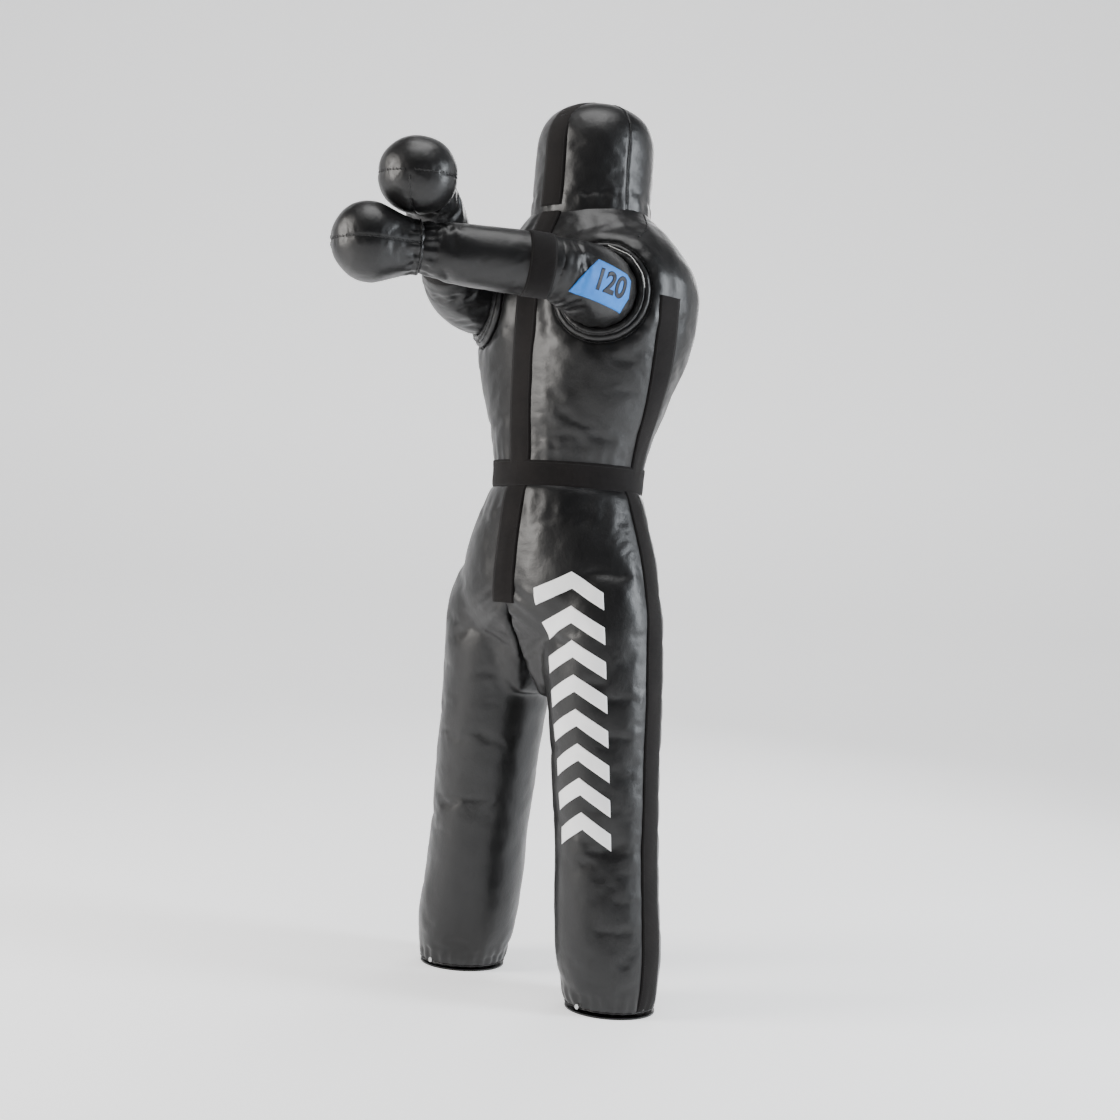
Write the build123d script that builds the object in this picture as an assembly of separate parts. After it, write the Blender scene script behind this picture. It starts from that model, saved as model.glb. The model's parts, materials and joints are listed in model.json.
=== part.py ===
from build123d import *
import os
from math import cos, radians, sin, tan

# Stuffed grappling dummy: packed vinyl compartments, reinforced with sewn webbing.
# Millimetres. +Z up, the dummy faces -Y, its own left side is +X.
# It is drawn with the origin on the floor midway between the two soles, then shifted as
# one, so that the finished part's origin is the bottom centre of its bounding box.

# ---------------------------------------------------------------- driving dimensions
HEIGHT = 1650.0            # floor to crown
GAP = 0.3                  # between neighbouring pieces of one body
JOINT_GAP = 1.2            # between the two bodies that meet at a joint
WEB_W = 50.0               # nylon webbing, 2 inch
WEB_T = 1.5

# The trunk from the crotch to the base of the neck: height, half width, half depth, centre y
TRUNK = [
    (690, 227, 128, -14), (739, 222, 141, -10), (790, 209, 143, -8), (889, 166, 138, -5),
    (945, 141, 134, 0), (1001, 152, 137, 2), (1076, 180, 146, 6), (1226, 224, 158, 18),
    (1300, 229, 157, 20), (1376, 187, 136, 18), (1440, 116, 106, 14),
]
TRUNK_STRAP_T = 4.0        # a flat strip has to reach in under the curve of the trunk

# Head: an upright capsule whose lower end is a ball in the base of the neck
HEAD_R = 109.5
HEAD_DOME_R = 86.0
NECK = Vector(0, 14, 1460)
NECK_RIM_Z = 1415.0

# Waist: the torso ends just under the belt and rides on a ball at the top of the hips
WAIST = Vector(0, -3, 890)
WAIST_R = 129.0
TORSO_BOTTOM = 918.0
HIP_TOP = 914.0
WAIST_FORWARD = 20.0       # degrees of forward bend that the slope of the hips leaves room for
BELT_Z0 = 922.0
BELT_A = 140.5             # inside of the belt, half width and half depth
BELT_B = 133.5

# Hips and legs
HIP = Vector(0, -14, 712)
HIP_R = 111.7
LEG_FORWARD = 60.0
CROTCH_WEB = 9.0           # half thickness of the gusset between the thighs
PELVIS_BOTTOM = 732.0
LEG_TOP = Vector(122, -15, 712)
LEG_FOOT = Vector(192, 0, 0)
LEG = [(-12, 82.5), (330, 94.5), (550, 104.5), (715, 106)]   # distance up the leg, radius
SOLE_T = 3.0
SOLE_R = 81.0
TACK_Z = 14.0

# Arms. Pivots: shoulder, elbow, wrist, then the middle of the ball-shaped hand
ARMHOLE = Vector(146, -105, 1273)
ARMHOLE_TURN = 31.0        # degrees that the armhole faces outwards from straight ahead
ARMHOLE_R = 80.0
WELT_R = 5.0
PLUG_R = 74.0
THREAD_RADII = (82, 78.5, 82, 79, 81.5, 79)    # a loose thread that wanders over the welt
THREAD_START = 6.0         # degrees from the top of the armhole
THREAD_STEP = 15.5
THREAD_LIFT = 3.6
LEFT_ARM = [Vector(156, -148, 1276), Vector(162, -244, 1289), Vector(36, -441, 1297), Vector(-8, -511, 1295)]
RIGHT_ARM = [Vector(-154, -148, 1282), Vector(-115, -230, 1317), Vector(-6, -396, 1418), Vector(42, -459, 1412)]
ARMS = {"left": LEFT_ARM, "right": RIGHT_ARM}
SHOULDER_R = 58.0
SHOULDER_SOCKET_R = 60.4
UPPER_R = 54.5
ELBOW_R = 53.7
CUP_SETBACK = 27.0         # the elbow cup's rim stands this far short of the pivot
BAND_START = 6.0
BAND_R = 52.0
WRIST_R = 40.0
WRIST_WELT_R = 2.2
HAND_R = 64.5


# ---------------------------------------------------------------- helpers
def ball(centre, radius):
    return Pos(*centre) * Sphere(radius)


def frame_along(start, end):
    return Plane(origin=start, z_dir=(end - start).normalized())


def cones(frame, sections, grow=0.0):
    """A straight limb of coaxial cones; sections are (distance along the axis, radius)."""
    limb = None
    for (s0, r0), (s1, r1) in zip(sections, sections[1:]):
        align = (Align.CENTER, Align.CENTER, Align.MIN)
        if r0 == r1:
            piece = Cylinder(r0 + grow, s1 - s0, align=align)
        else:
            piece = Cone(r0 + grow, r1 + grow, s1 - s0, align=align)
        piece = frame * Pos(0, 0, s0) * piece
        limb = piece if limb is None else limb + piece
    return limb


def slab(z0, z1, size=900):
    return Pos(0, 0, (z0 + z1) / 2) * Box(size, size, z1 - z0)


def yz_prism(points, x0, x1):
    """A polygon of (y, z) points, extruded from x0 to x1."""
    plane = Plane(origin=(x0, 0, 0), x_dir=(0, 1, 0), z_dir=(1, 0, 0))
    return extrude(plane * make_face(Polyline(*points, close=True)), x1 - x0)


def xz_prism(points, y0, y1):
    """A polygon of (x, z) points, extruded from y0 to y1."""
    plane = Plane(origin=(0, y1, 0), x_dir=(1, 0, 0), z_dir=(0, -1, 0))
    return extrude(plane * make_face(Polyline(*points, close=True)), y1 - y0)


def ribbon(points, out, inward):
    """The outline of a strip that follows (across, z) points on the trunk's surface."""
    outer = [(p + out, z) for p, z in points]
    inner = [(p - inward, z) for p, z in reversed(points)]
    return outer + inner


def at_height(z, column):
    """A trunk measurement at any height, between the sections."""
    for low, high in zip(TRUNK, TRUNK[1:]):
        if low[0] <= z <= high[0]:
            part = (z - low[0]) / (high[0] - low[0])
            return low[column] + part * (high[column] - low[column])
    raise ValueError(z)


def face_line(z_values, side):
    """Points (distance from the X-Z plane, z) down the middle of the front or back."""
    return [(side * at_height(z, 3) + at_height(z, 2), z) for z in z_values]


def flank_line(z_values):
    return [(at_height(z, 1), z) for z in z_values]


def biggest(shape):
    return sorted(shape.solids(), key=lambda s: s.volume)[-1]


def mirrored(solid, side):
    return solid if side == "left" else mirror(solid, about=Plane.YZ)


# ---------------------------------------------------------------- straps on the trunk
def face_strap(z_values, side, clearance=0.0):
    """A strip down the front (side -1) or back (side 1) of the trunk."""
    out = 20.0 if clearance else WEB_T
    points = ribbon(face_line(z_values, side), out, TRUNK_STRAP_T - WEB_T + clearance)
    points = [(side * y, z) for y, z in points]
    half = WEB_W / 2 + clearance
    return yz_prism(points, -half, half)


def flank_strap(z_values, y_low, y_high, clearance=0.0):
    """A strip down the left flank that slants from y_high at its top to y_low at its bottom."""
    out = 20.0 if clearance else WEB_T
    strip = xz_prism(ribbon(flank_line(z_values), out, TRUNK_STRAP_T + clearance), -150, 150)
    z_low = min(z_values) - clearance
    z_high = max(z_values) + clearance
    half = WEB_W / 2 + clearance
    slant = [(y_low - half, z_low), (y_low + half, z_low), (y_high + half, z_high), (y_high - half, z_high)]
    return strip & yz_prism(slant, 0, 400)


TORSO_FACE_Z = [976, 1001, 1076, 1226, 1300, 1376, 1405]
TORSO_FLANK_Z = [976, 1001, 1076, 1226, 1285]
PELVIS_FRONT_Z = [775, 815, 858]
PELVIS_BACK_Z = [745, 790, 860]
PELVIS_FLANK_Z = [838, 889]


def torso_straps(clearance=0.0):
    left = flank_strap(TORSO_FLANK_Z, 35, -14, clearance)
    return {
        "torso_front_strap": face_strap(TORSO_FACE_Z, -1, clearance),
        "torso_back_strap": face_strap(TORSO_FACE_Z, 1, clearance),
        "left_flank_strap": left,
        "right_flank_strap": mirrored(left, "right"),
    }


def pelvis_straps(clearance=0.0):
    left = flank_strap(PELVIS_FLANK_Z, 10, 26, clearance)
    return {
        "pelvis_front_strap": face_strap(PELVIS_FRONT_Z, -1, clearance),
        "pelvis_back_strap": face_strap(PELVIS_BACK_Z, 1, clearance),
        "left_hip_strap": left,
        "right_hip_strap": mirrored(left, "right"),
    }


# ---------------------------------------------------------------- head
def head_shape(grow):
    top = HEIGHT + grow
    radius = HEAD_R + grow
    column = Pos(NECK.X, NECK.Y, (NECK.Z + top) / 2) * Cylinder(radius, top - NECK.Z)
    crown_edge = column.edges().sort_by(Axis.Z)[-1]
    return fillet(crown_edge, HEAD_DOME_R + grow)


def head():
    return head_shape(0) + ball(NECK, HEAD_R)


def head_strap():
    skin = head_shape(GAP + WEB_T) - head_shape(GAP)
    low = NECK.Z + 4
    return skin & Pos(0, NECK.Y, (low + 1700) / 2) * Box(WEB_W, 400, 1700 - low)


# ---------------------------------------------------------------- torso
def armhole_plane(side):
    turn = radians(ARMHOLE_TURN)
    sign = 1 if side == "left" else -1
    origin = (sign * ARMHOLE.X, ARMHOLE.Y, ARMHOLE.Z)
    outwards = (sign * cos(turn), sin(turn), 0)
    return Plane(origin=origin, x_dir=outwards, z_dir=(sign * sin(turn), -cos(turn), 0))


def welt_shape(side, grow=0.0):
    return armhole_plane(side) * Pos(0, 0, -3) * Torus(ARMHOLE_R, WELT_R + grow)


def collar_shape(side, top=-3.0, grow=0.0):
    """The gathered root of the sleeve: a padded disc set into the chest."""
    return cones(armhole_plane(side), [(-34 - grow, PLUG_R), (top, PLUG_R)], grow)


def sleeve_collar(side, shoulder):
    return biggest(collar_shape(side) - ball(shoulder, SHOULDER_SOCKET_R))


def waist_ellipse(grow, z0, z1):
    return Pos(0, 0, z0) * extrude(Ellipse(BELT_A + grow, BELT_B + grow), z1 - z0)


def waist_belt():
    z1 = BELT_Z0 + WEB_W
    return waist_ellipse(2 * WEB_T, BELT_Z0, z1) - waist_ellipse(0, BELT_Z0 - 1, z1 + 1)


def torso(trunk):
    body = trunk & slab(TORSO_BOTTOM, NECK_RIM_Z)
    body -= ball(NECK, HEAD_R + JOINT_GAP)
    body -= ball(WAIST, WAIST_R + JOINT_GAP)
    belt_band = slab(BELT_Z0 - GAP, BELT_Z0 + WEB_W + GAP)
    body -= belt_band - waist_ellipse(-2 * GAP, BELT_Z0 - 2, BELT_Z0 + WEB_W + 2)
    for side, arm in ARMS.items():
        body -= collar_shape(side, 30, GAP)
        body -= welt_shape(side, GAP)
        body -= ball(arm[0], SHOULDER_SOCKET_R)
    for groove in torso_straps(GAP).values():
        body -= groove
    return biggest(body)


# ---------------------------------------------------------------- hips
def hip_cut(x0, x1):
    """What the legs need clear under the hips: a round socket, and room to swing forward."""
    radius = HIP_R + JOINT_GAP
    middle = (x0 + x1) / 2
    socket = Pos(middle, HIP.Y, HIP.Z) * Rot(0, 90, 0) * Cylinder(radius, x1 - x0)
    rise = radians(LEG_FORWARD)
    touch = (HIP.Y - radius * cos(rise), HIP.Z + radius * sin(rise))
    out = (touch[0] - 150 * sin(rise), touch[1] - 150 * cos(rise))
    front = yz_prism([(HIP.Y, HIP.Z), touch, out, (out[0], 600), (HIP.Y, 600)], x0, x1)
    under = Pos(middle, 0, (600 + PELVIS_BOTTOM) / 2) * Box(x1 - x0, 600, PELVIS_BOTTOM - 600)
    return socket + front + under


def pelvis(trunk):
    drop = 250 * tan(radians(WAIST_FORWARD))
    hips = [(-250, 600), (-250, HIP_TOP - drop), (0, HIP_TOP), (250, HIP_TOP - drop), (250, 600)]
    body = trunk & yz_prism(hips, -300, 300)
    body += ball(WAIST, WAIST_R)
    body -= hip_cut(CROTCH_WEB, 300)
    body -= hip_cut(-300, -CROTCH_WEB)
    for groove in pelvis_straps(GAP).values():
        body -= groove
    return biggest(body)


# ---------------------------------------------------------------- legs (left, mirrored for the right)
def leg(trunk):
    shank = cones(frame_along(LEG_FOOT, LEG_TOP), LEG)
    shank = shank & slab(SOLE_T + GAP, HIP.Z + 60)
    root = trunk & Pos(160, HIP.Y, HIP.Z) * Rot(0, 90, 0) * Cylinder(HIP_R, 400)
    inner = CROTCH_WEB + JOINT_GAP
    root = root & Pos(inner + 150, 0, HIP.Z + 44) * Box(300, 600, 130)
    return biggest(shank + root)


def leg_strap():
    frame = frame_along(LEG_FOOT, LEG_TOP)
    skin = cones(frame, LEG, GAP + WEB_T) - cones(frame, LEG, GAP)
    window = Pos(340, 8, 362) * Box(400, WEB_W, 676)
    return biggest(skin & window)


def sole():
    return Pos(LEG_FOOT.X, LEG_FOOT.Y, SOLE_T / 2) * Cylinder(SOLE_R, SOLE_T)


def sole_tack():
    y = -SOLE_R - 4.6
    return Pos(LEG_FOOT.X - 1.4, y, TACK_Z) * Rot(90, 0, 0) * Cylinder(4.5, 3)


# ---------------------------------------------------------------- arms
def upper_arm(shoulder, elbow):
    length = (elbow - shoulder).length
    sections = [(10, SHOULDER_R - 1), (length - CUP_SETBACK, UPPER_R)]
    shaft = cones(frame_along(shoulder, elbow), sections)
    return shaft + ball(shoulder, SHOULDER_R) - ball(elbow, ELBOW_R + JOINT_GAP)


def forearm(elbow, wrist):
    length = (wrist - elbow).length
    frame = frame_along(elbow, wrist)
    sections = [(0, BAND_R), (BAND_START + WEB_W + 2, BAND_R), (0.72 * length, 50.5), (length, WRIST_R)]
    limb = cones(frame, sections) + ball(elbow, ELBOW_R) + ball(wrist, WRIST_R)
    band_zone = frame * Pos(0, 0, BAND_START + WEB_W / 2) * (Cylinder(90, WEB_W + 2 * GAP) - Cylinder(BAND_R, WEB_W + 4))
    return limb - band_zone - wrist_welt(elbow, wrist, GAP)


def elbow_band(elbow, wrist):
    ring = Cylinder(BAND_R + GAP + WEB_T, WEB_W) - Cylinder(BAND_R + GAP, WEB_W + 2)
    return frame_along(elbow, wrist) * Pos(0, 0, BAND_START + WEB_W / 2) * ring


def wrist_welt(elbow, wrist, grow=0.0):
    return frame_along(wrist, elbow) * Torus(WRIST_R + 1.5, WRIST_WELT_R + grow)


def hand(wrist, knuckle):
    """A ball with a tapered root, whose hollow end clears the end of the forearm."""
    length = (knuckle - wrist).length
    hollow = WRIST_R + 1.5 + WRIST_WELT_R + 2 * GAP
    rim = (hollow * sin(radians(62)), hollow * cos(radians(62)))
    deep = (hollow * sin(radians(31)), hollow * cos(radians(31)))
    shoulder_s = length - 6
    shoulder_r = (HAND_R ** 2 - 36) ** 0.5
    waist = (54, 0.5 * length)
    bulge = (HAND_R * cos(radians(45)), length + HAND_R * sin(radians(45)))
    outline = ThreePointArc((0, hollow), deep, rim)
    outline += Polyline(rim, waist, (shoulder_r, shoulder_s))
    outline += ThreePointArc((shoulder_r, shoulder_s), bulge, (0, length + HAND_R))
    outline += Line((0, length + HAND_R), (0, hollow))
    frame = frame_along(wrist, knuckle)
    profile = Plane(origin=(0, 0, 0), x_dir=(1, 0, 0), z_dir=(0, -1, 0)) * make_face(outline)
    return frame * revolve(profile, Axis.Z)


def weight_label(shoulder):
    """A thin sewn label that lies against the outer face of the left sleeve."""
    face = Plane(origin=shoulder + Vector(SHOULDER_R + GAP, 0, 0), x_dir=(0, 1, 0), z_dir=(1, 0, 0))
    outline = make_face(Polyline((-44, -14), (-20, 14), (22, 20), (28, -8), (14, -24), close=True))
    return extrude(face * outline, 0.8)


def loose_thread():
    """The loose end of the sewing thread that lies over the top of the left armhole."""
    plane = armhole_plane("left")
    points = []
    for step, radius in enumerate(THREAD_RADII):
        turn = radians(THREAD_START + step * THREAD_STEP)
        local = Vector(radius * sin(turn), radius * cos(turn), THREAD_LIFT)
        points.append(plane.from_local_coords(local))
    path = FilletPolyline(*points, radius=6)
    section = Plane(origin=path @ 0, z_dir=path % 0) * Circle(0.6)
    return sweep(section, path)


# ---------------------------------------------------------------- all the pieces
def build_pieces():
    trunk = loft([Pos(0, cy, z) * Ellipse(a, b) for z, a, b, cy in TRUNK])
    pieces = {"head": head(), "head_strap": head_strap()}
    pieces["torso"] = torso(trunk)
    pieces.update(torso_straps())
    pieces["waist_belt"] = waist_belt()
    pieces["pelvis"] = pelvis(trunk)
    pieces.update(pelvis_straps())
    leg_pieces = {"leg": leg(trunk), "leg_strap": leg_strap(), "sole": sole(), "sole_tack": sole_tack()}
    for side, (shoulder, elbow, wrist, knuckle) in ARMS.items():
        for name, solid in leg_pieces.items():
            pieces[f"{side}_{name}"] = mirrored(solid, side)
        pieces[f"{side}_armhole_welt"] = welt_shape(side)
        pieces[f"{side}_sleeve_collar"] = sleeve_collar(side, shoulder)
        pieces[f"{side}_upper_arm"] = upper_arm(shoulder, elbow)
        pieces[f"{side}_forearm"] = forearm(elbow, wrist)
        pieces[f"{side}_elbow_band"] = elbow_band(elbow, wrist)
        pieces[f"{side}_wrist_welt"] = wrist_welt(elbow, wrist)
        pieces[f"{side}_hand"] = hand(wrist, knuckle)
    pieces["weight_label"] = weight_label(LEFT_ARM[0])
    pieces["loose_thread"] = loose_thread()
    return pieces


def centring():
    """The move along Y that centres the part between its front fist and its back."""
    front = LEFT_ARM[3].Y - HAND_R
    back = max(cy + b for z, a, b, cy in TRUNK) + WEB_T
    return Pos(0, -(front + back) / 2, 0)


def main():
    os.makedirs("parts", exist_ok=True)
    shift = centring()
    for name, solid in build_pieces().items():
        export_step(shift * solid, f"parts/{name}.step")


main()
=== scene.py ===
import json
import math
from math import atan2, copysign, cos, exp, hypot, pi, radians, sin
import bmesh
import bpy
import numpy as np
from mathutils import Matrix, Vector, noise
from mathutils.bvhtree import BVHTree


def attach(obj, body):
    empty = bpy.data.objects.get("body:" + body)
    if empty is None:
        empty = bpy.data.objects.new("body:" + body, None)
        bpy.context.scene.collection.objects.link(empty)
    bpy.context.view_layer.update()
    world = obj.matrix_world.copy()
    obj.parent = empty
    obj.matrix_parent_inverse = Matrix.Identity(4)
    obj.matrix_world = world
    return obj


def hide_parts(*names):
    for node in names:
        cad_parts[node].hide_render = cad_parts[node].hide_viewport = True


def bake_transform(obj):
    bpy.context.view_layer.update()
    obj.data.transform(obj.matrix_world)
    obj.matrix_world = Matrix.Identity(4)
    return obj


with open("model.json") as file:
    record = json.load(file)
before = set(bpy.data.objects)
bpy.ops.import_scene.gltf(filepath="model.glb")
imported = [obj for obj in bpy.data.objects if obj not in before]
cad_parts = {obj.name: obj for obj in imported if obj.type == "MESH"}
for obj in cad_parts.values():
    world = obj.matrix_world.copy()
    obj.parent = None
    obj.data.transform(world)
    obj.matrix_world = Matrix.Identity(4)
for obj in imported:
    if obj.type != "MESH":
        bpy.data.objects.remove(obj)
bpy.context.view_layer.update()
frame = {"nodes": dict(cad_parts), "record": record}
FEET_Y = frame["record"]["mounts"][0]["pos_m"][1]    # the soles' centres lie on this line


def at(x, y, z):
    """A point given in millimetres from between the soles, as in the design."""
    return Vector((x / 1000, y / 1000 + FEET_Y, z / 1000))


def in_mm(p):
    """The reverse of at()."""
    return p.x * 1000, (p.y - FEET_Y) * 1000, p.z * 1000


def level(turn):
    """A horizontal direction; turn is in radians from straight ahead (-Y) towards +X."""
    return Vector((sin(turn), -cos(turn), 0))


def turns(count):
    """Evenly spaced turns round a full circle, in radians."""
    return [2 * pi * k / count for k in range(count)]


def bell(value, centre, width):
    """1 at the centre, falling smoothly to 0 on both sides."""
    return exp(-(((value - centre) / width) ** 2))


# -------------------- the design's main shapes
X, Y, Z = Vector((1, 0, 0)), Vector((0, 1, 0)), Vector((0, 0, 1))
# Height, half width, half depth, centre y
TRUNK = [(690, 227, 128, -14), (739, 222, 141, -10), (790, 209, 143, -8), (889, 166, 138, -5),
         (945, 141, 134, 0), (1001, 152, 137, 2), (1076, 180, 146, 6), (1226, 224, 158, 18),
         (1300, 229, 157, 20), (1376, 187, 136, 18), (1440, 116, 106, 14)]
# Height, radius
LEG = [(0, 80), (14, 83), (330, 94.5), (550, 104), (640, 108), (712, 109), (780, 96)]
LEG_TOP_Z = 712
LEG_FOOT = at(192, 0, 0)
LEG_TOP = at(122, -15, LEG_TOP_Z)
HEAD = [(1405, 102), (1425, 112), (1443, 113), (1462, 111), (1500, 109.5), (1560, 109)]
HEAD_DOME_Z, HEAD_TOP_Z, HEAD_R, HEAD_Y = 1560, 1650, 109, 14
HEAD_DOME_POWER = 2.35       # 2 would be a round dome
SEAM_TURN = 77               # degrees from the front to the head's side seams
ARMHOLE = {1: at(146, -105, 1273), -1: at(-146, -105, 1273)}
ARMHOLE_TURN = radians(31)
# Shoulder, elbow, wrist, knuckles
ARMS = {1: [at(156, -148, 1276), at(162, -244, 1289), at(36, -441, 1297), at(-8, -511, 1295)],
        -1: [at(-154, -148, 1282), at(-115, -230, 1317), at(-6, -396, 1418), at(42, -459, 1412)]}
# Degrees round each hand at which its lengthwise seams lie
HAND_SEAMS = {1: [62, 118, -90], -1: [90, -90, 180]}
SIDES = {1: "left", -1: "right"}
CAMERA_TURN = radians(43)


# -------------------- camera, light, floor
def make_camera():
    data = bpy.data.cameras.new("camera")
    data.sensor_width = 36
    data.lens = 52.46
    data.shift_x = -0.0018
    camera = add_object("camera", data)
    distance, height, roll = 3.06, 0.795, radians(4)
    place = at(0, 0, 0) + level(CAMERA_TURN) * distance
    place.z = height
    turn = Matrix.Rotation(CAMERA_TURN, 4, "Z") @ Matrix.Rotation(pi / 2, 4, "X")
    camera.matrix_world = Matrix.Translation(place) @ turn @ Matrix.Rotation(roll, 4, "Z")
    bpy.context.scene.camera = camera


def make_light(name, turn_degrees, distance, height, size, power, colour):
    data = bpy.data.lights.new(name, "AREA")
    data.shape = "RECTANGLE"
    data.size, data.size_y = size
    data.energy = power
    data.color = colour
    light = add_object(name, data)
    light.location = at(0, -100, 0) + level(radians(turn_degrees)) * distance
    light.location.z = height
    aim = at(0, -100, 900) - light.location
    light.rotation_euler = aim.to_track_quat("-Z", "Y").to_euler()


def make_studio():
    world = bpy.data.worlds.new("studio")
    world.use_nodes = True
    nodes, links = world.node_tree.nodes, world.node_tree.links
    seen_from = nodes.new("ShaderNodeLightPath")
    strength = nodes.new("ShaderNodeMapRange")
    # dim as a light on the vinyl, bright where the camera looks past the floor
    preset(strength, {"To Min": 0.12, "To Max": 1.6})
    links.new(seen_from.outputs["Is Camera Ray"], strength.inputs["Value"])
    links.new(strength.outputs["Result"], nodes["Background"].inputs["Strength"])
    nodes["Background"].inputs["Color"].default_value = (0.96, 0.97, 1, 1)
    bpy.context.scene.world = world
    make_light("key", -28, 3.4, 1.9, (1.3, 2.4), 150, (1, 0.97, 0.93))
    make_light("side", 122, 3.2, 1.7, (0.9, 2.4), 130, (0.90, 0.95, 1))
    make_light("back", 205, 3.4, 2.2, (1.2, 1.6), 40, (1, 1, 1))
    make_light("top", 40, 0.6, 3.6, (1.8, 1.8), 50, (1, 1, 1))
    # how far beyond the dummy, height: a sheet of paper that curves up behind it
    rows = [(-9, 0), (3.2, 0), (4.2, 0.12), (5.0, 0.6), (5.3, 1.4), (5.4, 7)]
    verts, faces = [], []
    across = level(CAMERA_TURN + pi / 2)
    away = -level(CAMERA_TURN)
    for far, height in rows:
        for side in (-14, 14):
            verts.append(across * side + away * far + Vector((0, 0, height)))
    for i in range(len(rows) - 1):
        faces.append((2 * i, 2 * i + 1, 2 * i + 3, 2 * i + 2))
    floor = add_mesh("floor", verts, faces)
    paper, _, _, shader = new_material("paper")
    preset(shader, {"Base Color": (0.86, 0.86, 0.87, 1), "Roughness": 0.9, "Specular IOR Level": 0.1,
                    "Emission Color": (1, 1, 1, 1), "Emission Strength": 0.75})
    floor.data.materials.append(paper)


# -------------------- mesh helpers
def add_object(name, data):
    obj = bpy.data.objects.new(name, data)
    bpy.context.scene.collection.objects.link(obj)
    return obj


def shade_smooth(mesh):
    mesh.polygons.foreach_set("use_smooth", [True] * len(mesh.polygons))


def add_mesh(name, verts, faces):
    mesh = bpy.data.meshes.new(name)
    mesh.from_pydata([tuple(v) for v in verts], [], faces)
    mesh.update()
    shade_smooth(mesh)
    return add_object(name, mesh)


def smooth_rows(rows, z):
    """A table's columns at any z, on a smooth (Hermite) curve through its rows."""
    table = np.array(rows, float)
    heights, values = table[:, 0], table[:, 1:]
    z = min(max(z, heights[0]), heights[-1])
    i = min(np.searchsorted(heights, z, side="right") - 1, len(heights) - 2)
    slopes = np.gradient(values, heights, axis=0)
    step = heights[i + 1] - heights[i]
    t = (z - heights[i]) / step
    a, b = 2 * t**3 - 3 * t**2 + 1, t**3 - 2 * t**2 + t
    c, d = -2 * t**3 + 3 * t**2, t**3 - t**2
    return a * values[i] + b * step * slopes[i] + c * values[i + 1] + d * step * slopes[i + 1]


def ellipse_ring(centre, x_axis, y_axis, a, b, power=2.0, count=96):
    ring = []
    for turn in turns(count):
        c, s = cos(turn), sin(turn)
        u = copysign(abs(c) ** (2 / power), c) * a
        v = copysign(abs(s) ** (2 / power), s) * b
        ring.append(centre + x_axis * u + y_axis * v)
    return ring


def skin_of(rings):
    """Vertices and faces of a closed tube through the rings."""
    count = len(rings[0])
    verts = [p for ring in rings for p in ring]
    faces = []
    for i in range(len(rings) - 1):
        for j in range(count):
            k = (j + 1) % count
            faces.append((i * count + j, i * count + k, (i + 1) * count + k, (i + 1) * count + j))
    faces.append(tuple(reversed(range(count))))
    last = (len(rings) - 1) * count
    faces.append(tuple(range(last, last + count)))
    return verts, faces


def add_tube(name, rings):
    return add_mesh(name, *skin_of(rings))


def joined(name, parts):
    verts, faces = [], []
    for part_verts, part_faces in parts:
        start = len(verts)
        verts += list(part_verts)
        faces += [tuple(start + i for i in face) for face in part_faces]
    return add_mesh(name, verts, faces)


def applied(obj, *modifiers):
    """Applies modifiers, given as (type, settings), one after another."""
    for kind, settings in modifiers:
        modifier = obj.modifiers.new(kind.lower(), kind)
        for key, value in settings.items():
            setattr(modifier, key, value)
    mesh = bpy.data.meshes.new_from_object(obj.evaluated_get(bpy.context.evaluated_depsgraph_get()))
    obj.modifiers.clear()
    obj.data = mesh
    shade_smooth(mesh)
    return obj


def points_of(obj):
    co = np.empty(len(obj.data.vertices) * 3)
    obj.data.vertices.foreach_get("co", co)
    return co.reshape(-1, 3)


def put_points(obj, co):
    obj.data.vertices.foreach_set("co", np.asarray(co, float).ravel())
    obj.data.update()


SIM_FRAMES = 20
VOXEL = 0.0065               # cell of the remeshed skins, in metres


def stuff(obj, pinned, voxel=VOXEL, cap=0.006, pressure=4.0, growth=0.007, soften=6):
    """Packs a skin: even mesh, cloth under inner pressure held at its seams, then one subdivision."""
    applied(obj, ("REMESH", {"mode": "VOXEL", "voxel_size": voxel}))
    applied(obj, ("SMOOTH", {"factor": 0.5, "iterations": soften}))
    before = points_of(obj)
    group = obj.vertex_groups.new(name="seams")
    for i, p in enumerate(before):
        weight = pinned(Vector(p))
        if weight > 0:
            group.add([i], weight, "REPLACE")
    modifier = obj.modifiers.new("cloth", "CLOTH")
    cloth = modifier.settings
    cloth.quality = 4
    cloth.mass = 0.4
    cloth.air_damping = 3
    cloth.tension_stiffness = cloth.compression_stiffness = 25
    cloth.shear_stiffness = 8
    cloth.bending_stiffness = 1.5
    cloth.use_pressure = True
    cloth.uniform_pressure_force = pressure
    cloth.shrink_min = -growth
    cloth.vertex_group_mass = "seams"
    cloth.effector_weights.gravity = 0
    modifier.collision_settings.use_collision = False
    modifier.point_cache.frame_start, modifier.point_cache.frame_end = 1, SIM_FRAMES
    scene = bpy.context.scene
    for number in range(1, SIM_FRAMES + 1):
        scene.frame_set(number)
    applied(obj)
    scene.frame_set(1)
    after = points_of(obj)
    move = after - before
    length = np.maximum(np.linalg.norm(move, axis=1, keepdims=True), 1e-9)
    move *= cap * np.tanh(length / cap) / length
    put_points(obj, before + np.nan_to_num(move))
    obj.vertex_groups.clear()
    applied(obj, ("SMOOTH", {"factor": 0.5, "iterations": 2}))
    applied(obj, ("SUBSURF", {"levels": 1}))
    return obj


HILL_SCALE, RIPPLE_SCALE = 9, 30       # noise cells per metre


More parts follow.
